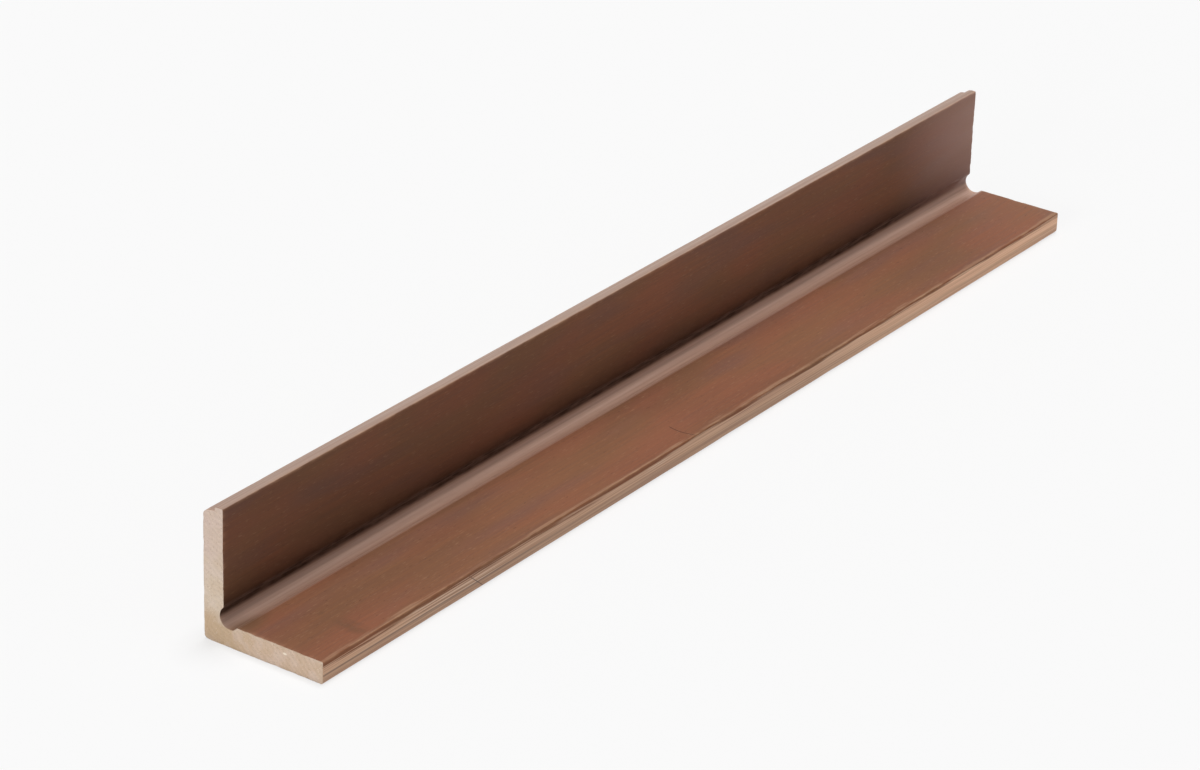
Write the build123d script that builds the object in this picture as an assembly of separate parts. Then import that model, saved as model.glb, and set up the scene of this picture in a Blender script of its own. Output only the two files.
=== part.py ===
from build123d import *

import os
from math import sqrt

# Decking corner trim: an L-shaped wood-plastic composite extrusion, sawn to length.
#
# The flat leg lies on the floor and the upright leg stands at its heel. A round relief runs along the
# inner corner, so that the trim seats on a square deck edge. The upright leg ends in a rounded shoulder
# with a thin crowned lip standing above it.
#
# Frame: X across the flat leg, from heel to tip. Y along the length. Z up.
# Origin: the middle of the trim's footprint, on the floor. All sizes are in millimetres.

# Overall sizes
TRIM_LENGTH = 420.0
FLAT_LEG_WIDTH = 45.0
UPRIGHT_LEG_HEIGHT = 45.0

# Walls of the two legs
FLAT_LEG_THICKNESS = 7.5
UPRIGHT_LEG_THICKNESS = 7.5

# Round relief along the inner corner
RELIEF_RADIUS = 3.6
RELIEF_DEPTH = 1.4
RELIEF_EDGE_RADIUS = 0.8

# Lip and shoulder along the top of the upright leg
LIP_THICKNESS = 3.1
LIP_CREST = 1.4
LIP_FALL = 0.25
LIP_STEP = 1.1
LIP_EDGE_RADIUS = 0.35
SHOULDER_FALL = 0.8
SHOULDER_RADIUS = 2.0

# Corners as the die leaves them
HEEL_RADIUS = 1.5
TIP_LOWER_RADIUS = 0.8
ARRIS_RADIUS = 0.4


def leg_outline():
    """Outline of the two legs with every corner still sharp, its heel at the section's origin."""
    inner_x = UPRIGHT_LEG_THICKNESS
    inner_z = FLAT_LEG_THICKNESS
    crest_x = inner_x - LIP_CREST
    lip_x = inner_x - LIP_THICKNESS
    lip_z = UPRIGHT_LEG_HEIGHT - LIP_FALL
    shoulder_z = lip_z - LIP_STEP
    crown = TangentArc((crest_x, UPRIGHT_LEG_HEIGHT), (lip_x, lip_z), tangent=(-1, 0))
    straights = Polyline(
        (lip_x, lip_z),
        (lip_x, shoulder_z),
        (0, shoulder_z - SHOULDER_FALL),
        (0, 0),
        (FLAT_LEG_WIDTH, 0),
        (FLAT_LEG_WIDTH, inner_z),
        (inner_x, inner_z),
        (inner_x, UPRIGHT_LEG_HEIGHT),
        (crest_x, UPRIGHT_LEG_HEIGHT),
    )
    return make_face(crown.edges() + straights.edges())


def corner_relief():
    """Round cutter for the inner corner, sunk by the relief's depth into each leg."""
    stand_off = RELIEF_RADIUS - RELIEF_DEPTH
    return Pos(UPRIGHT_LEG_THICKNESS + stand_off, FLAT_LEG_THICKNESS + stand_off) * Circle(RELIEF_RADIUS)


def corner_radii():
    """Each corner of the section that the die rounds off: where it is, and its radius."""
    stand_off = RELIEF_RADIUS - RELIEF_DEPTH
    relief_reach = stand_off + sqrt(RELIEF_RADIUS**2 - stand_off**2)
    lip_x = UPRIGHT_LEG_THICKNESS - LIP_THICKNESS
    lip_z = UPRIGHT_LEG_HEIGHT - LIP_FALL
    return [
        ((UPRIGHT_LEG_THICKNESS, FLAT_LEG_THICKNESS + relief_reach), RELIEF_EDGE_RADIUS),
        ((UPRIGHT_LEG_THICKNESS + relief_reach, FLAT_LEG_THICKNESS), RELIEF_EDGE_RADIUS),
        ((UPRIGHT_LEG_THICKNESS, UPRIGHT_LEG_HEIGHT), ARRIS_RADIUS),
        ((lip_x, lip_z), LIP_EDGE_RADIUS),
        ((0, lip_z - LIP_STEP - SHOULDER_FALL), SHOULDER_RADIUS),
        ((0, 0), HEEL_RADIUS),
        ((FLAT_LEG_WIDTH, 0), TIP_LOWER_RADIUS),
        ((FLAT_LEG_WIDTH, FLAT_LEG_THICKNESS), ARRIS_RADIUS),
    ]


def trim_section():
    """The die's section: legs less the relief, with its corners rounded."""
    section = Sketch() + leg_outline() - corner_relief()
    for place, radius in corner_radii():
        sharp_corner = section.vertices().sort_by_distance(place)[0]
        section = fillet(sharp_corner, radius)
    return section


def corner_trim():
    """The section carried along the trim's length, centred on its footprint."""
    section = Pos(-FLAT_LEG_WIDTH / 2, 0) * trim_section()
    return extrude(Plane.XZ * section, amount=TRIM_LENGTH / 2, both=True)


os.makedirs("parts", exist_ok=True)
export_step(corner_trim(), "parts/corner_trim.step")
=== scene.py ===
import bpy
import numpy as np
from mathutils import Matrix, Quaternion, Vector


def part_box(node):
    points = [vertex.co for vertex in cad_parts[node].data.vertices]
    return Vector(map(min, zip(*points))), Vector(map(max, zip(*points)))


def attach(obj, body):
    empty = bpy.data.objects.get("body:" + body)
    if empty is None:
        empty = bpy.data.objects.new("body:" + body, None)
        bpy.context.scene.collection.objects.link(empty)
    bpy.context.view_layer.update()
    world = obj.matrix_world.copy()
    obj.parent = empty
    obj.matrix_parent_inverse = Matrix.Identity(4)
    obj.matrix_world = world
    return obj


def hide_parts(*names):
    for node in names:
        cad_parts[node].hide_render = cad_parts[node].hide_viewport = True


# Decking corner trim, dressed: one length of brown wood-plastic composite on a pale floor.
# Lengths are in metres. X runs across the flat leg from heel to tip, Y along the length, Z up.

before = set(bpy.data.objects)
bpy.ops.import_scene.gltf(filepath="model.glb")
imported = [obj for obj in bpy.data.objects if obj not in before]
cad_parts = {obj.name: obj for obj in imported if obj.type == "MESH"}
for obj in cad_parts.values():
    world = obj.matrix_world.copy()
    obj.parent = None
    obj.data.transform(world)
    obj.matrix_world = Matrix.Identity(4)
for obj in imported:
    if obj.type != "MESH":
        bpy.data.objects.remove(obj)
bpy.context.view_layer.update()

MM = 0.001
TRIM_NODE = "corner_trim"

# The extruded section, as the die makes it
trim_low, trim_high = (np.array(corner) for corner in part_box(TRIM_NODE))
TRIM_LENGTH = trim_high[1] - trim_low[1]
FLAT_LEG_WIDTH = trim_high[0] - trim_low[0]
UPRIGHT_LEG_HEIGHT = trim_high[2] - trim_low[2]
LEG_THICKNESS = 7.5 * MM
RELIEF_RADIUS = 3.6 * MM
RELIEF_DEPTH = 1.4 * MM
RELIEF_EDGE_RADIUS = 0.8 * MM
LIP_THICKNESS = 3.1 * MM
LIP_CREST = 1.4 * MM
LIP_FALL = 0.25 * MM
LIP_STEP = 1.1 * MM
LIP_EDGE_RADIUS = 0.35 * MM
SHOULDER_FALL = 0.8 * MM
SHOULDER_RADIUS = 2.0 * MM
HEEL_RADIUS = 1.5 * MM
TIP_LOWER_RADIUS = 0.8 * MM
ARRIS_RADIUS = 0.4 * MM

# Places in the section that several features share
RELIEF_STAND_OFF = RELIEF_RADIUS - RELIEF_DEPTH
RELIEF_CENTRE = np.array([LEG_THICKNESS + RELIEF_STAND_OFF, LEG_THICKNESS + RELIEF_STAND_OFF])
RELIEF_EDGE_REACH = np.sqrt(
    (RELIEF_RADIUS + RELIEF_EDGE_RADIUS) ** 2 - (RELIEF_STAND_OFF + RELIEF_EDGE_RADIUS) ** 2
)
LIP_X = LEG_THICKNESS - LIP_THICKNESS
SHOULDER_Z = UPRIGHT_LEG_HEIGHT - LIP_FALL - LIP_STEP
CREST_X = LEG_THICKNESS - LIP_CREST
CROWN_RADIUS = ((LIP_THICKNESS - LIP_CREST) ** 2 + LIP_FALL**2) / (2 * LIP_FALL)
CROWN_CENTRE = np.array([CREST_X, UPRIGHT_LEG_HEIGHT - CROWN_RADIUS])
LIP_EDGE_X = LIP_X + LIP_EDGE_RADIUS
LIP_EDGE_RISE = np.sqrt((CROWN_RADIUS - LIP_EDGE_RADIUS) ** 2 - (CREST_X - LIP_EDGE_X) ** 2)
LIP_EDGE_CENTRE = np.array([LIP_EDGE_X, CROWN_CENTRE[1] + LIP_EDGE_RISE])

# Steps of the mesh, round the section and along the length
LEG_STEPS = 60
CORNER_RUN_STEPS = 8
HEEL_STEPS = 8
RELIEF_EDGE_STEPS = 3
RELIEF_STEPS = 2 * CORNER_RUN_STEPS + HEEL_STEPS - 2 * RELIEF_EDGE_STEPS
SHOULDER_STEPS = (6, 4, 4)
TIP_STEPS = (4, 14, 4)
LIP_STEPS = (4, 9, 5, 4)
LENGTH_STEPS = 226
END_CROWDING = 0.86
SIDE_BOW_REACH = 1.5 * MM

# Relief of the skin, all of it below the die's section
SKIN_SEED = 45
WAVE_DEPTH = 0.045 * MM
WAVE_COUNTS = (9, 16)
DIE_LINE_DEPTH = 0.018 * MM
DIE_LINE_COUNTS = (3, 150)
NICKS_PER_ARRIS = 5
NICK_DEPTH = (0.04 * MM, 0.12 * MM)
NICK_LENGTH = (3.0 * MM, 8.0 * MM)
NICK_REACH = 0.7 * MM
SHOULDER_ARRIS_X = 0.3 * SHOULDER_RADIUS

# Relief of the sawn ends, all of it below the square end
CHIPS_PER_END = 34
CHIP_DEPTH = (0.03 * MM, 0.13 * MM)
CHIP_LENGTH = (0.5 * MM, 1.6 * MM)
CHIP_REACH = (0.3 * MM, 1.4 * MM)
SAW_CENTRE = np.array([-64.0, -96.0]) * MM
SAW_PITCH = 1.7 * MM
SAW_DEPTH = 0.05 * MM
SAW_DRIFT_COUNTS = (12, 4)
PITS_PER_END = 46
PIT_DEPTH = (0.05 * MM, 0.16 * MM)
PIT_RADIUS = (0.35 * MM, 0.75 * MM)
PIT_MARGIN = 2

# Where each part of the finish fades out on the section: its near and far distance
RELIEF_FADE = (RELIEF_RADIUS + 0.2 * MM, RELIEF_RADIUS + 0.9 * MM)
FLAT_FACE_FADE = (0.05 * MM, 0.3 * MM)
CROWN_FADE = (2.4 * MM, 3.4 * MM)
TIP_FADE = (0.15 * MM, 0.5 * MM)
RELIEF_PALE_FADE = (-1.5 * MM, 2.0 * MM)
OVERHANG_FADE = (-0.4 * MM, 1.5 * MM)
FRAY_FADE = (0.0, 3.0 * MM)

# Painted highlight, painted shade and wear on the section
# How pale the relief's painted highlight is at its least, on the flat leg's side
RELIEF_LEAST_PALE = 0.6
ARRIS_WEAR_REACH = 0.6 * MM
END_WEAR_REACH = 0.7 * MM
# Painted shade at the upright's foot and on the seat beside the relief: how far it reaches, and how strong
# on the seat
FOOT_SHADE_REACH = 5.0 * MM
SEAT_SHADE_REACH = 6.0 * MM
SEAT_SHADE_SHARE = 0.12


def run(start, end, steps):
    """Points on a straight run, evenly spaced: start plus a rising share of the way to end."""
    share = np.linspace(0.0, 1.0, steps + 1)[:, None]
    return (1.0 - share) * np.array(start) + share * np.array(end)


def arc(centre, radius, start_deg, end_deg, steps):
    """Points on an arc, evenly spaced: the centre plus the radius at angles from start to end."""
    angle = np.radians(np.linspace(start_deg, end_deg, steps + 1))
    return np.array(centre) + radius * np.stack([np.cos(angle), np.sin(angle)], axis=1)


def chain(*stretches):
    """One line of points from stretches that each start where the last one ends."""
    return np.concatenate([stretches[0]] + [stretch[1:] for stretch in stretches[1:]])


def bearing(start, end):
    """Angle in degrees of the way from one point to another."""
    return np.degrees(np.arctan2(end[1] - start[1], end[0] - start[0]))


def tip_side():
    """Across the tip, from the underside up to the seat: lower rounding, face, upper arris."""
    low = (FLAT_LEG_WIDTH - TIP_LOWER_RADIUS, TIP_LOWER_RADIUS)
    high = (FLAT_LEG_WIDTH - ARRIS_RADIUS, LEG_THICKNESS - ARRIS_RADIUS)
    lower, face, upper = TIP_STEPS
    return chain(
        arc(low, TIP_LOWER_RADIUS, -90, 0, lower),
        run((FLAT_LEG_WIDTH, low[1]), (FLAT_LEG_WIDTH, high[1]), face),
        arc(high, ARRIS_RADIUS, 0, 90, upper),
    )


def shoulder_stretch():
    """Over the upright leg's shoulder, from its outer face to the lip's edge: rounding, slope, step."""
    slope_deg = np.degrees(np.arctan2(SHOULDER_FALL, LIP_X))
    drop = SHOULDER_RADIUS * np.tan(np.radians(45 - slope_deg / 2))
    centre = (SHOULDER_RADIUS, SHOULDER_Z - SHOULDER_FALL - drop)
    lip_root = (LIP_X, SHOULDER_Z)
    rounding_steps, slope_steps, step_steps = SHOULDER_STEPS
    rounding = arc(centre, SHOULDER_RADIUS, 180, 90 + slope_deg, rounding_steps)
    slope = run(rounding[-1], lip_root, slope_steps)
    return chain(rounding, slope, run(lip_root, (LIP_X, LIP_EDGE_CENTRE[1]), step_steps))


def lip_side():
    """Over the lip, from its step's top to the inner face: soft edge, crown, crest, inner arris."""
    crown_deg = bearing(CROWN_CENTRE, LIP_EDGE_CENTRE)
    arris = (LEG_THICKNESS - ARRIS_RADIUS, UPRIGHT_LEG_HEIGHT - ARRIS_RADIUS)
    edge_steps, crown_steps, crest_steps, arris_steps = LIP_STEPS
    return chain(
        arc(LIP_EDGE_CENTRE, LIP_EDGE_RADIUS, 180, crown_deg, edge_steps),
        arc(CROWN_CENTRE, CROWN_RADIUS, crown_deg, 90, crown_steps),
        run((CREST_X, UPRIGHT_LEG_HEIGHT), (arris[0], UPRIGHT_LEG_HEIGHT), crest_steps),
        arc(arris, ARRIS_RADIUS, 90, 0, arris_steps),
    )


def relief_stretch():
    """Round the inner corner: soft edge, round relief, soft edge, from the flat leg to the upright."""
    edge_sink = LEG_THICKNESS - RELIEF_EDGE_RADIUS
    flat_edge = (RELIEF_CENTRE[0] + RELIEF_EDGE_REACH, edge_sink)
    upright_edge = (edge_sink, RELIEF_CENTRE[1] + RELIEF_EDGE_REACH)
    flat_deg = bearing(RELIEF_CENTRE, flat_edge)
    upright_deg = bearing(RELIEF_CENTRE, upright_edge) - 360
    return chain(
        arc(flat_edge, RELIEF_EDGE_RADIUS, 90, flat_deg + 180, RELIEF_EDGE_STEPS),
        arc(RELIEF_CENTRE, RELIEF_RADIUS, flat_deg, upright_deg, RELIEF_STEPS),
        arc(upright_edge, RELIEF_EDGE_RADIUS, upright_deg + 180, 0, RELIEF_EDGE_STEPS),
    )


def inner_rail(tip, lip):
    """From the tip's upper arris along the seat, round the relief and up to the lip's inner arris."""
    relief = relief_stretch()
    upright_steps = LEG_STEPS + sum(SHOULDER_STEPS)
    return chain(run(tip[-1], relief[0], LEG_STEPS), relief, run(relief[-1], lip[-1], upright_steps))


def outer_rail(tip):
    """From the tip's lower rounding along the underside, round the heel, up and over the shoulder."""
    relief = relief_stretch()
    shoulder = shoulder_stretch()
    heel = (HEEL_RADIUS, HEEL_RADIUS)
    below_relief = (relief[0][0], 0.0)
    beside_relief = (0.0, relief[-1][1])
    return chain(
        run(tip[0], below_relief, LEG_STEPS),
        run(below_relief, (HEEL_RADIUS, 0.0), CORNER_RUN_STEPS),
        arc(heel, HEEL_RADIUS, 270, 180, HEEL_STEPS),
        run((0.0, HEEL_RADIUS), beside_relief, CORNER_RUN_STEPS),
        run(beside_relief, shoulder[0], LEG_STEPS),
        shoulder,
    )


def stations():
    """Places along the length, closer together near the sawn ends: a cubic of an even count."""
    even = np.linspace(-1.0, 1.0, LENGTH_STEPS + 1)
    crowded = (3.0 * even - even**3) / 2.0
    return TRIM_LENGTH / 2 * ((1.0 - END_CROWDING) * even + END_CROWDING * crowded)


def ease(share):
    """A share from 0 to 1 that starts and ends gently: three squares less two cubes."""
    return share * share * (3.0 - 2.0 * share)


def fade(distance, near, far):
    """1 up to the near distance, 0 from the far one, eased between."""
    return ease(np.clip((far - distance) / (far - near), 0.0, 1.0))


def section_patch(outer, inner, tip, lip):
    """The section's area as a grid: row i runs straight from point i of one rail to that of the other.

    Near the tip and near the lip a row is also bowed by what that side's own points add to the straight
    line between its ends, less and less with the distance from that side.
    """
    across = np.linspace(0.0, 1.0, len(tip))[None, :, None]
    rows = (1.0 - across) * outer[:, None] + across * inner[:, None]
    near_tip = fade(np.linalg.norm(inner - inner[0], axis=1), 0.0, SIDE_BOW_REACH)[:, None, None]
    near_lip = fade(np.linalg.norm(inner - inner[-1], axis=1), 0.0, SIDE_BOW_REACH)[:, None, None]
    return rows + near_tip * (tip - rows[0]) + near_lip * (lip - rows[-1])


def ring_places(rail_count, side_count):
    """Row and column in the section's grid of each point round its outline, in order."""
    rows = np.arange(rail_count)
    columns = np.arange(side_count)
    last_row = rail_count - 1
    last_column = side_count - 1
    ring_rows = [rows, np.full(side_count - 1, last_row), rows[-2::-1], np.zeros(side_count - 2, int)]
    ring_columns = [
        np.zeros(rail_count, int),
        columns[1:],
        np.full(rail_count - 1, last_column),
        columns[-2:0:-1],
    ]
    return np.concatenate(ring_rows), np.concatenate(ring_columns)


def cells(grid):
    """The four corners of each cell of a grid of numbers or of places, in turn round the cell."""
    corners = [grid[:-1, :-1], grid[:-1, 1:], grid[1:, 1:], grid[1:, :-1]]
    return np.stack(corners, axis=2).reshape(-1, 4, *grid.shape[2:])


def in_frame(section_points, along):
    """Section points set in the frame, each at its place along the trim."""
    x = section_points[..., 0] + trim_low[0]
    z = section_points[..., 1] + trim_low[2]
    return np.stack([x, along, z], axis=-1)


def wander(row_share, column_share, counts, draw):
    """Smooth noise from 0 to 1: random numbers on a coarse lattice, eased from cell to cell both ways.

    Shares say where each row and column lies, and the lattice closes on itself across the columns.
    """
    row_cells, column_cells = counts
    lattice = draw.random((row_cells + 2, column_cells))
    row = row_share * row_cells
    column = column_share * column_cells
    row_cell = row.astype(int)
    column_cell = column.astype(int)
    row_ease = ease(row - row_cell)[:, None]
    column_ease = ease(column - column_cell)[None, :]
    rows = (1.0 - row_ease) * lattice[row_cell] + row_ease * lattice[row_cell + 1]
    left = rows[:, column_cell % column_cells]
    right = rows[:, (column_cell + 1) % column_cells]
    return (1.0 - column_ease) * left + column_ease * right


def round_the_outline(outline):
    """How far along the outline each point lies, and the outline's whole length."""
    steps = np.linalg.norm(np.roll(outline, -1, axis=0) - outline, axis=1)
    reached = np.concatenate([[0.0], np.cumsum(steps)])
    return reached[:-1], reached[-1]


def inward(outline):
    """Unit way into the material at each outline point: the chord of its neighbours, turned right."""
    chord = np.roll(outline, -1, axis=0) - np.roll(outline, 1, axis=0)
    turned = np.stack([chord[:, 1], -chord[:, 0]], axis=1)
    return turned / np.linalg.norm(turned, axis=1)[:, None]


def arrises():
    """The section's outer edges, which knocks reach first."""
    return np.array([
        (FLAT_LEG_WIDTH, LEG_THICKNESS),
        (FLAT_LEG_WIDTH, 0.0),
        (0.0, 0.0),
        (SHOULDER_ARRIS_X, SHOULDER_Z - SHOULDER_FALL),
        (LIP_X, UPRIGHT_LEG_HEIGHT - LIP_FALL),
        (LEG_THICKNESS, UPRIGHT_LEG_HEIGHT),
    ])


def end_distance(places):
    """How far each station is from the sawn end that is nearer."""
    return TRIM_LENGTH / 2 - np.abs(places)


def skin_depth(outline, places, draw):
    """How far each wall point lies below the die's section, stations by outline points.

    Slow waves and die lines are smooth noise. A nick is a bell along the length times a bell about its
    arris, and a chip is a bell along the outline times a bell in from its sawn end.
    """
    reached, whole = round_the_outline(outline)
    around = reached / whole
    along = (places - places[0]) / TRIM_LENGTH
    depth = WAVE_DEPTH * wander(along, around, WAVE_COUNTS, draw)
    depth += DIE_LINE_DEPTH * wander(along, around, DIE_LINE_COUNTS, draw)
    for arris in arrises():
        near_arris = np.exp(-(((outline - arris) ** 2).sum(axis=1)) / NICK_REACH**2)
        for _ in range(NICKS_PER_ARRIS):
            middle = draw.uniform(places[0], places[-1])
            bell = np.exp(-(((places - middle) / draw.uniform(*NICK_LENGTH)) ** 2))
            depth += draw.uniform(*NICK_DEPTH) * bell[:, None] * near_arris[None, :]
    for end in (places[0], places[-1]):
        for _ in range(CHIPS_PER_END):
            middle = draw.uniform(0.0, whole)
            apart = np.abs(reached - middle)
            apart = np.minimum(apart, whole - apart)
            chip = np.exp(-((apart / draw.uniform(*CHIP_LENGTH)) ** 2))
            reach = np.exp(-(((places - end) / draw.uniform(*CHIP_REACH)) ** 2))
            depth += draw.uniform(*CHIP_DEPTH) * reach[:, None] * chip[None, :]
    return depth


def sawn_depth(patch, draw):
    """A sawn end's saw marks, from 0 to 1, and how far each of its points lies below the square cut.

    The marks are a cosine of the distance from the blade's centre, drifting a little. Pits are bells.
    """
    row_share = np.linspace(0.0, 1.0, patch.shape[0])
    column_share = np.linspace(0.0, 1.0, patch.shape[1])
    drift = wander(row_share, column_share, SAW_DRIFT_COUNTS, draw)
    reach = np.linalg.norm(patch - SAW_CENTRE, axis=2)
    marks = 0.5 - 0.5 * np.cos(2.0 * np.pi * (reach / SAW_PITCH + drift))
    depth = SAW_DEPTH * marks
    for _ in range(PITS_PER_END):
        row = draw.integers(PIT_MARGIN, patch.shape[0] - PIT_MARGIN)
        column = draw.integers(PIT_MARGIN, patch.shape[1] - PIT_MARGIN)
        apart = ((patch - patch[row, column]) ** 2).sum(axis=2)
        depth += draw.uniform(*PIT_DEPTH) * np.exp(-apart / draw.uniform(*PIT_RADIUS) ** 2)
    return marks, depth


def relief_share(outline):
    """1 in the relief along the inner corner, fading out over its soft edges."""
    return fade(np.linalg.norm(outline - RELIEF_CENTRE, axis=1), *RELIEF_FADE)


def inner_face_share(outline):
    """1 on the upright's inner face above the relief, fading out where the outline leaves it."""
    x, z = outline.T
    return fade(np.abs(x - LEG_THICKNESS), *FLAT_FACE_FADE) * (z > RELIEF_CENTRE[1])


def crown_share(outline):
    """1 over the lip and the shoulder, fading out down the upright's outer face."""
    below_crest = UPRIGHT_LEG_HEIGHT - outline[:, 1]
    return fade(below_crest, *CROWN_FADE) * (1.0 - inner_face_share(outline))


def tip_share(outline):
    """1 on the face at the flat leg's tip, fading out over its two edges."""
    return fade(FLAT_LEG_WIDTH - outline[:, 0], *TIP_FADE)


def smooth_share(outline):
    """1 wherever no brush reached: relief, crown and tip."""
    return np.maximum.reduce([relief_share(outline), crown_share(outline), tip_share(outline)])


def dying_away(distance, reach):
    """1 where the distance is nothing or less, then falling off as an exponential of it."""
    return np.exp(-np.clip(distance, 0.0, None) / reach)


def skin_measures(outline, places):
    """What the finish needs to know at each wall point, each from 0 to 1, stations by outline points.

    highlight: the crown and the relief, unbrushed skin painted paler as a highlight, most of it on the
    upright's side.
    tip: the tip's face. worn: near an outer edge or a sawn end.
    shade: painted shade on the relief's upper half, the foot of the upright above it and, lightly, the seat
    beside it.
    inner: the upright's inner face. fray: the seat beside the tip's upper edge.
    """
    x, z = outline.T
    relief = relief_share(outline)
    inner_face = inner_face_share(outline)
    on_seat = fade(np.abs(z - LEG_THICKNESS), *FLAT_FACE_FADE)
    # Painted highlight: the relief is painted paler, most on the upright's side, where it would reflect the
    # bright surroundings
    pale_side = fade(x - RELIEF_CENTRE[0], *RELIEF_PALE_FADE)
    relief_paleness = relief * (RELIEF_LEAST_PALE + (1.0 - RELIEF_LEAST_PALE) * pale_side)
    to_arris = np.linalg.norm(outline[:, None] - arrises()[None], axis=2).min(axis=1)
    worn_round = np.exp(-((to_arris / ARRIS_WEAR_REACH) ** 2))
    worn_along = np.exp(-end_distance(places) / END_WEAR_REACH)
    # Painted shade: the upright's foot, the relief's overhang and the seat by the relief, where shade falls
    # in the corner
    foot = inner_face * dying_away(z - RELIEF_CENTRE[1] - RELIEF_EDGE_REACH, FOOT_SHADE_REACH)
    overhang = relief * fade(RELIEF_CENTRE[1] - z, *OVERHANG_FADE)
    seat_foot = on_seat * dying_away(x - RELIEF_CENTRE[0] - RELIEF_EDGE_REACH, SEAT_SHADE_REACH)
    fray = on_seat * fade(FLAT_LEG_WIDTH - ARRIS_RADIUS - x, *FRAY_FADE)
    whole_length = np.ones((len(places), 1))
    return {
        "pale_skin_highlight_share": whole_length * np.maximum(relief_paleness, crown_share(outline)),
        "tip_share": whole_length * tip_share(outline),
        "worn_share": np.maximum(whole_length * worn_round, worn_along[:, None]),
        "painted_shade_share": whole_length * np.maximum.reduce([foot, overhang, SEAT_SHADE_SHARE * seat_foot]),
        "inner_share": whole_length * inner_face,
        "fray_share": whole_length * fray,
    }


# Bake map: the wall unrolled on the left, the two sawn ends to its right
WALL_MAP = (0.01, 0.65, 0.01, 0.99)
END_MAP_SIDE = 0.3
END_MAP_PLACES = np.array([(0.68, 0.02), (0.68, 0.36)])


def unrolled(outline, places):
    """Bake map of the wall: across by the way round the outline, up by the place along the trim."""
    reached, whole = round_the_outline(outline)
    left, right, low, high = WALL_MAP
    across = left + (right - left) * np.append(reached, whole) / whole
    up = low + (high - low) * (places - places[0]) / TRIM_LENGTH
    return np.stack(np.meshgrid(across, up), axis=2)


def sawn_grid(ring, sunk_ring, cut, end_place, outward):
    """A sawn end's points: the section's area within the wall's own last ring, sunk by the saw's cut."""
    rim = np.zeros(cut.shape + (2,))
    rim[ring] = sunk_ring
    patch = section_patch(rim[:, 0], rim[:, -1], rim[0], rim[-1])
    return in_frame(patch, end_place - outward * cut)


def trim_mesh():
    """The trim as one closed skin: the outline carried along the stations, closed by two section grids.

    Gives points, face groups for brushed skin, smooth skin and ends, the bake map of each face corner,
    and point measures.
    """
    draw = np.random.default_rng(SKIN_SEED)
    tip = tip_side()
    lip = lip_side()
    patch = section_patch(outer_rail(tip), inner_rail(tip, lip), tip, lip)
    ring = ring_places(*patch.shape[:2])
    outline = patch[ring]
    places = stations()
    marks, cuts = zip(sawn_depth(patch, draw), sawn_depth(patch, draw))

    # Side wall, station by station
    sunk = outline + skin_depth(outline, places, draw)[:, :, None] * inward(outline)
    along = np.tile(places[:, None], len(outline))
    along[0] += cuts[0][ring]
    along[-1] -= cuts[1][ring]
    index = np.arange(along.size).reshape(along.shape)
    wall_faces = cells(np.append(index, index[:, :1], axis=1))
    wall_map = cells(unrolled(outline, places))
    smooth = smooth_share(outline)
    smooth_face = np.tile(smooth + np.roll(smooth, -1) > 1.0, len(places) - 1)
    measures = skin_measures(outline, places)
    measures["saw_share"] = np.zeros(along.shape)
    measures["saw_share"][0] = marks[0][ring]
    measures["saw_share"][-1] = marks[1][ring]
    measures = {name: [share.ravel()] for name, share in measures.items()}

    # Sawn ends, bordered by the wall's first and last rings
    points = [in_frame(sunk, along).reshape(-1, 3)]
    end_faces = []
    end_maps = []
    inside = np.ones(patch.shape[:2], bool)
    inside[ring] = False
    for end, outward in ((0, -1), (-1, 1)):
        grid = np.empty(patch.shape[:2], int)
        grid[ring] = index[end]
        grid[inside] = sum(map(len, points)) + np.arange(inside.sum())
        points.append(sawn_grid(ring, sunk[end], cuts[end], places[end], outward)[inside])
        turn = -outward
        end_faces.append(cells(grid)[:, ::turn])
        end_map = END_MAP_PLACES[end] + END_MAP_SIDE * patch / UPRIGHT_LEG_HEIGHT
        end_maps.append(cells(end_map)[:, ::turn])
        for name, groups in measures.items():
            groups.append(marks[end][inside] if name == "saw_share" else np.zeros(inside.sum()))
    face_groups = [wall_faces[~smooth_face], wall_faces[smooth_face], np.concatenate(end_faces)]
    corner_map = np.concatenate([wall_map[~smooth_face], wall_map[smooth_face]] + end_maps)
    measures = {name: np.concatenate(groups) for name, groups in measures.items()}
    return np.concatenate(points), face_groups, corner_map, measures


def new_piece(name, points, face_groups, finishes, corner_map=None, measures=None):
    """An object at the origin from whole arrays, smoothly shaded, one finish for each group of faces."""
    faces = np.concatenate(face_groups)
    mesh = bpy.data.meshes.new(name)
    mesh.vertices.add(len(points))
    mesh.vertices.foreach_set("co", points.astype(np.float32).ravel())
    mesh.loops.add(faces.size)
    mesh.loops.foreach_set("vertex_index", faces.astype(np.int32).ravel())
    mesh.polygons.add(len(faces))
    mesh.polygons.foreach_set("loop_start", np.arange(0, faces.size, 4, dtype=np.int32))
    finish_of_face = np.repeat(np.arange(len(face_groups)), [len(group) for group in face_groups])
    for finish in finishes:
        mesh.materials.append(finish)
    mesh.polygons.foreach_set("material_index", finish_of_face.astype(np.int32))
    mesh.polygons.foreach_set("use_smooth", np.ones(len(faces), bool))
    mesh.update(calc_edges=True)
    if corner_map is not None:
        mesh.uv_layers.new(name="OFBake").data.foreach_set("uv", corner_map.astype(np.float32).ravel())
    for measure_name, values in (measures or {}).items():
        layer = mesh.attributes.new(measure_name, "FLOAT", "POINT")
        layer.data.foreach_set("value", values.astype(np.float32))
    piece = bpy.data.objects.new(name, mesh)
    bpy.context.scene.collection.objects.link(piece)
    return piece


def new_finish(name):
    """A material with an empty node tree, and that tree."""
    finish = bpy.data.materials.new(name)
    finish.use_nodes = True
    finish.node_tree.nodes.clear()
    return finish, finish.node_tree


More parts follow.
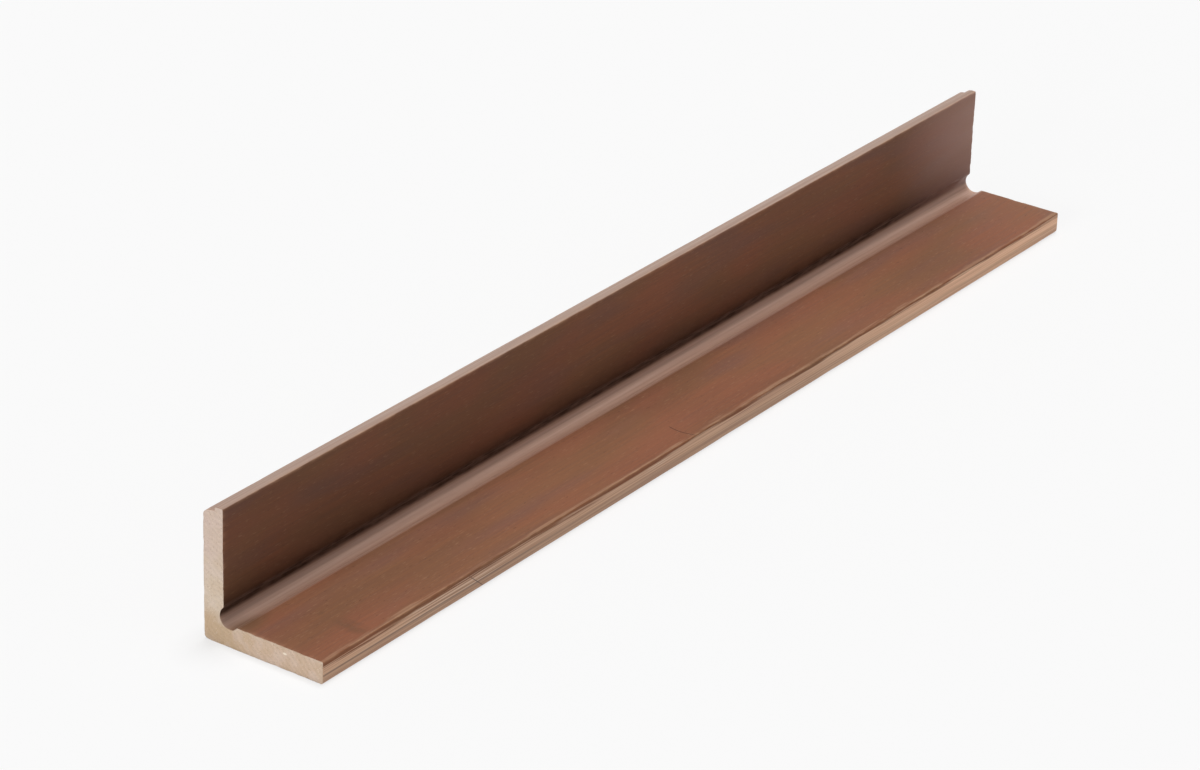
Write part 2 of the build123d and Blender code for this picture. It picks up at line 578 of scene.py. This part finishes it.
def add_node(tree, kind, inputs=None, **settings):
    """A shader node with its options set, its inputs given numbers, colours or other nodes' outputs."""
    node = tree.nodes.new("ShaderNode" + kind)
    for option, value in settings.items():
        setattr(node, option, value)
    for socket, value in (inputs or {}).items():
        if isinstance(value, bpy.types.NodeSocket):
            tree.links.new(value, node.inputs[socket])
        else:
            node.inputs[socket].default_value = value
    return node


def number(tree, operation, *values):
    """One step of arithmetic on numbers or outputs."""
    return add_node(tree, "Math", dict(enumerate(values)), operation=operation).outputs[0]


def product(tree, value, factor):
    """Two numbers multiplied."""
    return number(tree, "MULTIPLY", value, factor)


def gap(tree, value, other):
    """How far two numbers lie apart."""
    return number(tree, "ABSOLUTE", number(tree, "SUBTRACT", value, other))


def measure(tree, name):
    """A point measure of the mesh, from 0 to 1."""
    return add_node(tree, "Attribute", attribute_name=name).outputs["Fac"]


def coordinate(tree, place, axis):
    """One coordinate of a place, in metres."""
    return add_node(tree, "SeparateXYZ", {0: place}).outputs[axis]


def span(tree, value, low, high, to_low=0.0, to_high=1.0):
    """A value carried gently from one range to another, and held at the ends of it."""
    inputs = {"Value": value, "From Min": low, "From Max": high, "To Min": to_low, "To Max": to_high}
    return add_node(tree, "MapRange", inputs, interpolation_type="SMOOTHSTEP").outputs[0]


def blend(tree, share, under, over):
    """One colour over another by a share."""
    return add_node(tree, "Mix", {0: share, 6: under, 7: over}, data_type="RGBA").outputs[2]


def blend_number(tree, share, under, over):
    """One number over another by a share."""
    return add_node(tree, "Mix", {0: share, 2: under, 3: over}, data_type="FLOAT").outputs[0]


def toned(tree, colour, tone):
    """A colour made lighter or darker by a factor."""
    return add_node(tree, "VectorMath", {0: colour, "Scale": tone}, operation="SCALE").outputs[0]


def grain(tree, place, across, along, seed, detail):
    """Soft noise from 0 to 1 whose blobs are as wide and as long as given, lying along the trim."""
    scale = (1.0 / across, 1.0 / along, 1.0 / across)
    laid = add_node(tree, "Mapping", {"Vector": place, "Location": (seed, seed, seed), "Scale": scale})
    noise = add_node(tree, "TexNoise", {"Vector": laid.outputs[0], "Scale": 1.0, "Detail": detail})
    return noise.outputs[0]


# Share of a spot's reach within which it shows in full
SPOT_CORE = 0.3


def spot(tree, place, middle, reach):
    """1 in the core of an ellipsoid, falling gently to 0 at its reach each way, given in millimetres."""
    scale = tuple(1.0 / (length * MM) for length in reach)
    start = tuple(-there / length for there, length in zip(middle, reach))
    laid = add_node(tree, "Mapping", {"Vector": place, "Location": start, "Scale": scale})
    far = add_node(tree, "VectorMath", {0: laid.outputs[0]}, operation="LENGTH").outputs["Value"]
    return span(tree, far, 1.0, SPOT_CORE)


def close_finish(tree, colour, roughness, specular, height, tooth):
    """The shader that ends a finish: colour, gloss, and a fine tooth of the strength and depth given."""
    strength, depth = tooth
    bump = add_node(tree, "Bump", {"Height": height, "Strength": strength, "Distance": depth})
    shader = add_node(tree, "BsdfPrincipled", {
        "Base Color": colour,
        "Roughness": roughness,
        "Specular IOR Level": specular,
        "Normal": bump.outputs[0],
    })
    add_node(tree, "OutputMaterial", {"Surface": shader.outputs[0]})


# Colours of the composite
RED_BROWN = (0.224, 0.082, 0.0415, 1.0)
OLIVE_BROWN = (0.201, 0.086, 0.041, 1.0)
MAUVE_BROWN = (0.176, 0.078, 0.052, 1.0)
PALE_FIBRE = (0.40, 0.235, 0.130, 1.0)
DARK_FIBRE = (0.075, 0.030, 0.016, 1.0)
# Near black, painted as shade in the inner corner
SHADE_BROWN = (0.036, 0.014, 0.007, 1.0)
# Pale browns painted on the relief as a highlight
SKIN_BROWN = (0.43, 0.256, 0.188, 1.0)
SKIN_TAN = (0.52, 0.330, 0.250, 1.0)
# Pale veil painted as glare at the far end
GLARE_PINK = (0.53, 0.325, 0.275, 1.0)
# Pale browns painted on the crown as a highlight
CROWN_BROWN = (0.31, 0.190, 0.138, 1.0)
CROWN_TAN = (0.39, 0.262, 0.202, 1.0)
TIP_DARK = (0.19, 0.098, 0.055, 1.0)
TIP_BROWN = (0.43, 0.230, 0.132, 1.0)
TIP_TAN = (0.57, 0.342, 0.208, 1.0)
TIP_SCUFF = (0.72, 0.560, 0.430, 1.0)
FRAY_BROWN = (0.27, 0.138, 0.078, 1.0)
FRAY_TAN = (0.38, 0.225, 0.135, 1.0)
SAWN_TAN = (0.57, 0.415, 0.275, 1.0)
SAWN_PINK = (0.62, 0.462, 0.352, 1.0)
SAWN_CHALK = (0.69, 0.570, 0.458, 1.0)
SAWN_ROSE = (0.65, 0.505, 0.430, 1.0)
SAWN_FIBRE = (0.40, 0.250, 0.150, 1.0)
SAWN_FLECK = (0.86, 0.760, 0.640, 1.0)
SOIL_BROWN = (0.150, 0.078, 0.036, 1.0)
SMUDGE_BROWN = (0.120, 0.060, 0.030, 1.0)
SCRATCH_BROWN = (0.045, 0.018, 0.010, 1.0)

# Patterns of the composite: size across and along the trim, seed, detail
MOTTLE_GRAIN = (14 * MM, 38 * MM, 3.1, 1.0)
MAUVE_GRAIN = (10 * MM, 50 * MM, 0.6, 1.0)
DRIFT_GRAIN = (24 * MM, 95 * MM, 8.4, 1.0)
BRUSH_GRAIN = (0.55 * MM, 28 * MM, 5.2, 3.0)
FIBRE_GRAIN = (0.32 * MM, 3.4 * MM, 1.9, 1.0)
FLECK_GRAIN = (0.40 * MM, 2.2 * MM, 6.6, 1.0)
SKIN_GRAIN = (0.7 * MM, 70 * MM, 2.3, 2.0)
TIP_GRAIN = (0.42 * MM, 55 * MM, 9.7, 3.0)
WRAP_GRAIN = (0.55 * MM, 34 * MM, 7.1, 3.0)
FRAY_GRAIN = (1.3 * MM, 20 * MM, 3.9, 2.0)
WEAR_GRAIN = (1.6 * MM, 6.0 * MM, 7.7, 2.0)
SMUDGE_GRAIN = (4.5 * MM, 2.4 * MM, 4.4, 2.0)
SAWN_CLOUD_GRAIN = (5.0 * MM, 5.0 * MM, 2.8, 2.0)
SAWN_FIBRE_GRAIN = (0.42 * MM, 0.42 * MM, 1.4, 2.0)
SAWN_FLECK_GRAIN = (0.34 * MM, 0.34 * MM, 6.1, 1.0)

# How the patterns show: a stretch of the pattern's values, then the share or tone at each end of it
MOTTLE_SHARE = (0.28, 0.72, 0.0, 1.0)
MAUVE_SHARE = (0.45, 0.75, 0.0, 0.7)
DRIFT_TONE = (0.3, 0.7, 0.92, 1.08)
BRUSH_TONE = (0.28, 0.72, 0.90, 1.10)
PALE_FIBRE_SHARE = (0.62, 0.78, 0.0, 0.32)
DARK_FIBRE_SHARE = (0.66, 0.80, 0.0, 0.5)
SKIN_TAN_SHARE = (0.25, 0.75, 0.0, 1.0)
TIP_TAN_SHARE = (0.36, 0.64, 0.0, 1.0)
TIP_DARK_SHARE = (0.47, 0.36, 0.0, 0.7)
TIP_SCUFF_SHARE = (0.52, 0.66, 0.0, 0.9)
FRAY_TAN_SHARE = (0.35, 0.65, 0.0, 1.0)
FRAY_SHARE = (0.95, 1.12, 0.0, 0.6)
WORN_SHARE = (0.35, 0.7, 0.05, 0.4)
# How the painted shade in the inner corner shows over its patchy pattern
PATCHY_SHADE_SHARE = (0.25, 0.75, 0.85, 1.0)
# Painted glare, patchy
GLARE_CLOUD = (0.3, 0.7, 0.8, 1.0)
SMUDGE_SHARE = (0.3, 0.6, 0.15, 0.5)
SAWN_CLOUD_SHIFT = (0.3, 0.7, -0.25, 0.25)
SAW_MARK_TONE = (0.1, 0.9, 1.02, 0.96)
SAWN_FIBRE_SHARE = (0.58, 0.74, 0.0, 0.55)
SAWN_FLECK_SHARE = (0.64, 0.78, 0.0, 0.6)

# How much the nearness of the tip's edge adds to the fray's own pattern
FRAY_WEIGHT = 0.6

# How colours change along and up the trim: a stretch in metres, then the share or tone at each end of it
# Painted shade on the inner face towards the near end, and painted light on all faces towards the far end
INNER_PAINTED_SHADE = (-210.0 * MM, -21.0 * MM, 0.84, 1.0)
FAR_PAINTED_LIGHT = (140.0 * MM, 200.0 * MM, 1.0, 1.14)
# The relief's painted highlight, dimmer at the near end
RELIEF_TONE = (-200.0 * MM, -60.0 * MM, 0.93, 1.14)
# Painted glare, rising towards the far end
GLARE_ALONG = (150.0 * MM, 215.0 * MM, 0.0, 0.66)
TIP_UPPER_TONE = (2.6 * MM, 3.8 * MM, 0.93, 1.12)
# Painted light on the tip's face towards the far end
TIP_PAINTED_LIGHT = (0.0, 170.0 * MM, 1.0, 1.4)
TIP_NEAR_TONE = (-200.0 * MM, -110.0 * MM, 1.15, 1.0)
SAWN_PINK_SHARE = (-16.0 * MM, 4.0 * MM, 0.0, 0.8)
SAWN_CHALK_SHARE = (5.0 * MM, 12.0 * MM, 0.0, 0.85)
SAWN_ROSE_SHARE = (16.0 * MM, 36.0 * MM, 0.0, 0.85)

# Height above which the painted highlight is the crown's and no longer the relief's
CROWN_FOOT = UPRIGHT_LEG_HEIGHT / 2

# Brown skin wrapped over the tip's upper edge: how deep, how streaky and how soft its foot is
WRAP_DEPTH = (-TRIM_LENGTH / 2, TRIM_LENGTH / 2, 1.9 * MM, 1.0 * MM)
WRAP_FEATHER = (0.3, 0.7, -0.7 * MM, 0.7 * MM)
WRAP_SOFTNESS = (-0.5 * MM, 0.5 * MM)
WRAP_TONE = 1.12

# Spots on the photographed faces, in millimetres from the frame's origin: middle, then reach each way
SOILED_CORNER = ((-9.5, -208.0, 7.0), (7.0, 14.0, 5.0))
SMUDGE = ((15.6, -188.0, 7.5), (9.0, 4.4, 0.5))
DARK_SPOT = ((3.4, -187.4, 7.5), (1.3, 1.8, 0.5))
SCRATCH_STRETCH = ((18.1, -20.7, 7.5), (6.6, 4.0, 0.5))
TIP_STREAKS = ((22.5, -149.4, 4.4), (0.8, 35.0, 3.0))
TIP_SCUFFS = ((22.5, -40.8, 4.8), (0.8, 9.4, 1.2))
END_FLECK = ((8.2, -210.0, 5.3), (1.1, 0.5, 0.5))

# How strong the two fainter spots are
SOILED_CORNER_SHARE = 0.6
DARK_SPOT_SHARE = 0.3

# Lines on the photographed faces: the flat leg's bowed scratch, the tip's dark line and leaning nick
SCRATCH_LOWEST = (17.0 * MM, -21.4 * MM)
SCRATCH_BOW = 0.0380 / MM
SCRATCH_WIDTH = (0.3 * MM, 0.0)
SCRATCH_ENDS = (0.0, 0.3)
TIP_LINE_HEIGHT = 2.8 * MM
TIP_LINE_WIDTH = (0.5 * MM, 0.1 * MM)
TIP_LINE_SHARE = (-130.0 * MM, -60.0 * MM, 0.75, 0.0)
TIP_NICK_FOOT = -132.6 * MM
TIP_NICK_LEAN = -1.18
TIP_NICK_SHARE = (0.36 * MM, 0.0, 0.0, 0.8)

# Gloss of each finish: specular level, and roughness over a stretch of its pattern's values
BRUSHED_SPECULAR = 0.25
BRUSHED_ROUGHNESS = (0.28, 0.72, 0.60, 0.74)
SMOOTH_SPECULAR = 0.45
SMOOTH_ROUGHNESS = (0.28, 0.72, 0.40, 0.52)
SAWN_SPECULAR = 0.3
SAWN_ROUGHNESS = (0.3, 0.7, 0.75, 0.9)
MATT_SPECULAR = 0.05

# Tooth of each finish: strength and depth, and how far fibres, flecks and the smooth skin change it
BROWN_TOOTH = (0.6, 0.09 * MM)
FIBRE_TOOTH = 0.6
SMOOTH_TOOTH_LOSS = 0.6
SAWN_TOOTH = (0.5, 0.1 * MM)
SAWN_FLECK_TOOTH = 0.5


def brushed_faces(tree, place, brush, fibre):
    """The wide faces: red, olive and mauve browns in long clouds, brushed, with pale and dark fibres.

    The upright's inner face has painted shade, darkest at its near end, and all faces have painted light,
    palest at the far end.
    """
    y = coordinate(tree, place, "Y")
    mottle = grain(tree, place, *MOTTLE_GRAIN)
    colour = blend(tree, span(tree, mottle, *MOTTLE_SHARE), RED_BROWN, OLIVE_BROWN)
    mauve = grain(tree, place, *MAUVE_GRAIN)
    colour = blend(tree, span(tree, mauve, *MAUVE_SHARE), colour, MAUVE_BROWN)
    drift = grain(tree, place, *DRIFT_GRAIN)
    colour = toned(tree, colour, span(tree, drift, *DRIFT_TONE))
    colour = toned(tree, colour, span(tree, brush, *BRUSH_TONE))
    # Painted shade on the inner face at its near end, painted light on all faces at the far end
    inner_shade = span(tree, y, *INNER_PAINTED_SHADE)
    colour = toned(tree, colour, blend_number(tree, measure(tree, "inner_share"), 1.0, inner_shade))
    colour = toned(tree, colour, span(tree, y, *FAR_PAINTED_LIGHT))
    colour = blend(tree, span(tree, fibre, *PALE_FIBRE_SHARE), colour, PALE_FIBRE)
    fleck = grain(tree, place, *FLECK_GRAIN)
    return blend(tree, span(tree, fleck, *DARK_FIBRE_SHARE), colour, DARK_FIBRE)


def flat_leg_marks(tree, place, colour):
    """A brown smudge and spot near the near end, and one fine scratch by the tip, bowed as a parabola."""
    broken = span(tree, grain(tree, place, *SMUDGE_GRAIN), *SMUDGE_SHARE)
    colour = blend(tree, product(tree, spot(tree, place, *SMUDGE), broken), colour, SMUDGE_BROWN)
    dark_spot = product(tree, spot(tree, place, *DARK_SPOT), DARK_SPOT_SHARE)
    colour = blend(tree, dark_spot, colour, SMUDGE_BROWN)
    lowest_x, lowest_y = SCRATCH_LOWEST
    aside = number(tree, "SUBTRACT", coordinate(tree, place, "X"), lowest_x)
    bow = product(tree, product(tree, aside, aside), SCRATCH_BOW)
    line = number(tree, "ADD", bow, lowest_y)
    scratch = span(tree, gap(tree, coordinate(tree, place, "Y"), line), *SCRATCH_WIDTH)
    within = span(tree, spot(tree, place, *SCRATCH_STRETCH), *SCRATCH_ENDS)
    return blend(tree, product(tree, scratch, within), colour, SCRATCH_BROWN)


def highlit_skin_colour(tree, place):
    """The relief and the crown, painted paler as a highlight and streaked along the trim. The relief's near
    end is darker.
    """
    streaked = span(tree, grain(tree, place, *SKIN_GRAIN), *SKIN_TAN_SHARE)
    # Painted highlight on the relief and the crown, streaked
    relief_skin = blend(tree, streaked, SKIN_BROWN, SKIN_TAN)
    relief_skin = toned(tree, relief_skin, span(tree, coordinate(tree, place, "Y"), *RELIEF_TONE))
    crown_skin = blend(tree, streaked, CROWN_BROWN, CROWN_TAN)
    on_crown = number(tree, "GREATER_THAN", coordinate(tree, place, "Z"), CROWN_FOOT)
    return blend(tree, on_crown, relief_skin, crown_skin)


def tip_face(tree, place):
    """The tip's face: tan, streaked along the trim, paler above its middle and towards the near end, with
    painted light towards the far end.

    Towards the near end a dark line runs along it. Pale scuffs and one leaning dark nick cross it.
    """
    y = coordinate(tree, place, "Y")
    z = coordinate(tree, place, "Z")
    streak = grain(tree, place, *TIP_GRAIN)
    colour = blend(tree, span(tree, streak, *TIP_TAN_SHARE), TIP_BROWN, TIP_TAN)
    colour = toned(tree, colour, span(tree, z, *TIP_UPPER_TONE))
    # Painted light towards the far end
    colour = toned(tree, colour, span(tree, y, *TIP_PAINTED_LIGHT))
    colour = toned(tree, colour, span(tree, y, *TIP_NEAR_TONE))
    dark_line = span(tree, gap(tree, z, TIP_LINE_HEIGHT), *TIP_LINE_WIDTH)
    dark_line = product(tree, dark_line, span(tree, y, *TIP_LINE_SHARE))
    streaks = spot(tree, place, *TIP_STREAKS)
    dark_streaks = product(tree, streaks, span(tree, streak, *TIP_DARK_SHARE))
    colour = blend(tree, number(tree, "MAXIMUM", dark_line, dark_streaks), colour, TIP_DARK)
    scuffs = number(tree, "MAXIMUM", streaks, spot(tree, place, *TIP_SCUFFS))
    scuffs = product(tree, scuffs, span(tree, streak, *TIP_SCUFF_SHARE))
    colour = blend(tree, scuffs, colour, TIP_SCUFF)
    nick_line = number(tree, "ADD", product(tree, z, TIP_NICK_LEAN), TIP_NICK_FOOT)
    nick = span(tree, gap(tree, y, nick_line), *TIP_NICK_SHARE)
    return blend(tree, nick, colour, SCRATCH_BROWN)


def wrapped_share(tree, place):
    """1 where the brown skin wraps over the tip's upper edge, worn off below in streaks.

    It reaches lowest at the near end.
    """
    streaky = span(tree, grain(tree, place, *WRAP_GRAIN), *WRAP_FEATHER)
    depth = span(tree, coordinate(tree, place, "Y"), *WRAP_DEPTH)
    foot = number(tree, "SUBTRACT", LEG_THICKNESS, number(tree, "ADD", depth, streaky))
    return span(tree, number(tree, "SUBTRACT", coordinate(tree, place, "Z"), foot), *WRAP_SOFTNESS)


def frayed_seat(tree, place, colour, brush):
    """Paler torn streaks on the seat, along the tip's upper edge."""
    fray = product(tree, measure(tree, "fray_share"), FRAY_WEIGHT)
    fray = number(tree, "ADD", fray, grain(tree, place, *FRAY_GRAIN))
    fray_colour = blend(tree, span(tree, brush, *FRAY_TAN_SHARE), FRAY_BROWN, FRAY_TAN)
    return blend(tree, span(tree, fray, *FRAY_SHARE), colour, fray_colour)


def far_glare_share(tree, place):
    """Painted glare: how far a pale veil covers the upright's inner face and its painted shade, not at all
    before the far end.
    """
    glare_amount = span(tree, coordinate(tree, place, "Y"), *GLARE_ALONG)
    glare_amount = product(tree, glare_amount, span(tree, grain(tree, place, *MAUVE_GRAIN), *GLARE_CLOUD))
    glare_place = number(tree, "MAXIMUM", measure(tree, "inner_share"), measure(tree, "painted_shade_share"))
    return product(tree, glare_amount, glare_place)


def brown_composite(name, specular, roughness):
    """The trim's skin: brushed brown, unbrushed skin on the relief and crown painted paler as a highlight,
    worn edges, and painted shade at the upright's foot.
    """
    finish, tree = new_finish(name)
    place = add_node(tree, "TexCoord").outputs["Object"]
    brush = grain(tree, place, *BRUSH_GRAIN)
    fibre = grain(tree, place, *FIBRE_GRAIN)

    # Wide faces, then relief, crown and tip
    bare_and_highlit = measure(tree, "pale_skin_highlight_share")
    tip = measure(tree, "tip_share")
    wrapped = product(tree, tip, wrapped_share(tree, place))
    colour = flat_leg_marks(tree, place, brushed_faces(tree, place, brush, fibre))
    # Relief and crown painted paler as a highlight
    colour = blend(tree, bare_and_highlit, colour, highlit_skin_colour(tree, place))
    colour = toned(tree, colour, blend_number(tree, wrapped, 1.0, WRAP_TONE))
    colour = blend(tree, number(tree, "SUBTRACT", tip, wrapped), colour, tip_face(tree, place))

    # Wear, painted shade and painted glare
    colour = frayed_seat(tree, place, colour, brush)
    soiled = product(tree, spot(tree, place, *SOILED_CORNER), SOILED_CORNER_SHARE)
    colour = blend(tree, soiled, colour, SOIL_BROWN)
    patchy = grain(tree, place, *WEAR_GRAIN)
    worn = product(tree, measure(tree, "worn_share"), span(tree, patchy, *WORN_SHARE))
    colour = blend(tree, worn, colour, TIP_TAN)
    # Painted shade: near black in the inner corner, where shade falls
    corner_shade = product(tree, measure(tree, "painted_shade_share"), span(tree, patchy, *PATCHY_SHADE_SHARE))
    colour = blend(tree, corner_shade, colour, SHADE_BROWN)
    # Painted glare: a pale veil over the inner face and its painted shade at the far end
    colour = blend(tree, far_glare_share(tree, place), colour, GLARE_PINK)

    # Gloss and tooth
    matt = number(tree, "MAXIMUM", corner_shade, wrapped)
    gloss = blend_number(tree, matt, specular, MATT_SPECULAR)
    smooth = number(tree, "MAXIMUM", bare_and_highlit, tip)
    tooth_left = number(tree, "SUBTRACT", 1.0, product(tree, smooth, SMOOTH_TOOTH_LOSS))
    height = number(tree, "ADD", brush, product(tree, fibre, FIBRE_TOOTH))
    height = product(tree, height, tooth_left)
    close_finish(tree, colour, span(tree, brush, *roughness), gloss, height, BROWN_TOOTH)
    return finish


def sawn_composite(name):
    """The sawn ends: tan at the heel, pinker along the flat leg, chalky up the upright, rosy by its lip.

    Saw arcs, wood fibres and pale flecks mark them.
    """
    finish, tree = new_finish(name)
    place = add_node(tree, "TexCoord").outputs["Object"]
    x = coordinate(tree, place, "X")
    z = coordinate(tree, place, "Z")
    cloudy = span(tree, grain(tree, place, *SAWN_CLOUD_GRAIN), *SAWN_CLOUD_SHIFT)
    colour = SAWN_TAN
    for tint, side, share in (
        (SAWN_PINK, x, SAWN_PINK_SHARE),
        (SAWN_CHALK, z, SAWN_CHALK_SHARE),
        (SAWN_ROSE, z, SAWN_ROSE_SHARE),
    ):
        colour = blend(tree, number(tree, "ADD", span(tree, side, *share), cloudy), colour, tint)
    colour = toned(tree, colour, span(tree, measure(tree, "saw_share"), *SAW_MARK_TONE))
    fibre = grain(tree, place, *SAWN_FIBRE_GRAIN)
    colour = blend(tree, span(tree, fibre, *SAWN_FIBRE_SHARE), colour, SAWN_FIBRE)
    fleck = grain(tree, place, *SAWN_FLECK_GRAIN)
    colour = blend(tree, span(tree, fleck, *SAWN_FLECK_SHARE), colour, SAWN_FLECK)
    colour = blend(tree, spot(tree, place, *END_FLECK), colour, SAWN_FLECK)
    height = number(tree, "ADD", fibre, product(tree, fleck, SAWN_FLECK_TOOTH))
    close_finish(tree, colour, span(tree, fibre, *SAWN_ROUGHNESS), SAWN_SPECULAR, height, SAWN_TOOTH)
    return finish


# Floor, world and lamps
FLOOR_REACH = 12.0
FLOOR_CORNERS = FLOOR_REACH * np.array([(-1, -1, 0), (1, -1, 0), (1, 1, 0), (-1, 1, 0)])
FLOOR_WHITE = (0.86, 0.86, 0.86, 1.0)
FLOOR_GLOW = 0.7
WHITE = (1.0, 1.0, 1.0, 1.0)
WORLD_LIGHT = 0.22
KEY_LEVEL = 0.70
KEY_FROM = Vector((-0.04, 0.2, 1.0))
FILL_LEVEL = 0.42
FILL_FROM = Vector((0.05, -1.0, 0.2))
LAMP_WIDTH_DEG = 26.0


def seen_directly(tree):
    """1 for rays from the camera, a reflection or a clear material, 0 for the rays that light things."""
    path = add_node(tree, "LightPath").outputs
    seen = path["Is Camera Ray"]
    for ray in ("Is Glossy Ray", "Is Transmission Ray"):
        seen = number(tree, "MAXIMUM", seen, path[ray])
    return seen


def pale_floor():
    """A wide square under the trim. It shows nearly white and keeps the shadow."""
    finish, tree = new_finish("pale_floor")
    matt = add_node(tree, "BsdfDiffuse", {"Color": FLOOR_WHITE})
    glow = add_node(tree, "Emission", {"Color": WHITE, "Strength": 1.0})
    share = product(tree, seen_directly(tree), FLOOR_GLOW)
    both = add_node(tree, "MixShader", {0: share, 1: matt.outputs[0], 2: glow.outputs[0]})
    add_node(tree, "OutputMaterial", {"Surface": both.outputs[0]})
    floor = new_piece("floor", FLOOR_CORNERS, [np.array([[0, 1, 2, 3]])], [finish])


def white_surroundings():
    """An even white world, dimmer for the light that it sheds than for what is seen of it."""
    world = bpy.data.worlds.new("white_surroundings")
    world.use_nodes = True
    tree = world.node_tree
    tree.nodes.clear()
    seen = seen_directly(tree)
    level = add_node(tree, "MapRange", {"Value": seen, "To Min": WORLD_LIGHT, "To Max": 1.0})
    background = add_node(tree, "Background", {"Color": WHITE, "Strength": level.outputs[0]})
    add_node(tree, "OutputWorld", {"Surface": background.outputs[0]})
    bpy.context.scene.world = world


def soft_lamp(name, level, direction):
    """A very wide far lamp. Its level is what a white surface square to it would show."""
    lamp = bpy.data.lights.new(name, "SUN")
    lamp.energy = level * np.pi
    lamp.angle = np.radians(LAMP_WIDTH_DEG)
    holder = bpy.data.objects.new(name, lamp)
    holder.rotation_mode = "QUATERNION"
    holder.rotation_quaternion = direction.to_track_quat("Z", "Y")
    bpy.context.scene.collection.objects.link(holder)


# Camera
CAMERA_EYE = Vector((713.1, -1064.4, 631.6)) * MM
CAMERA_AIM = Vector((-25.9, -5.4, 4.8)) * MM
CAMERA_ROLL_DEG = 1.92
CAMERA_LENS = 130.5
CAMERA_SENSOR = 36.0


def camera():
    """Long lens from the tip's side, above and before the near end, turned a little about its own axis."""
    data = bpy.data.cameras.new("camera")
    data.sensor_width = CAMERA_SENSOR
    data.lens = CAMERA_LENS
    holder = bpy.data.objects.new("camera", data)
    holder.location = CAMERA_EYE
    holder.rotation_mode = "QUATERNION"
    level = (CAMERA_AIM - CAMERA_EYE).to_track_quat("-Z", "Y")
    holder.rotation_quaternion = level @ Quaternion((0, 0, 1), np.radians(CAMERA_ROLL_DEG))
    bpy.context.scene.collection.objects.link(holder)
    bpy.context.scene.camera = holder


camera()
white_surroundings()
soft_lamp("key_lamp", KEY_LEVEL, KEY_FROM)
soft_lamp("fill_lamp", FILL_LEVEL, FILL_FROM)
pale_floor()
trim_points, trim_faces, trim_map, trim_measures = trim_mesh()
trim_finishes = [
    brown_composite("brushed_brown_composite", BRUSHED_SPECULAR, BRUSHED_ROUGHNESS),
    brown_composite("smooth_brown_composite", SMOOTH_SPECULAR, SMOOTH_ROUGHNESS),
    sawn_composite("sawn_composite"),
]
trim = new_piece("trim_length", trim_points, trim_faces, trim_finishes, trim_map, trim_measures)
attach(trim, "root")
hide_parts(TRIM_NODE)
bpy.context.scene.view_settings.view_transform = "Standard"
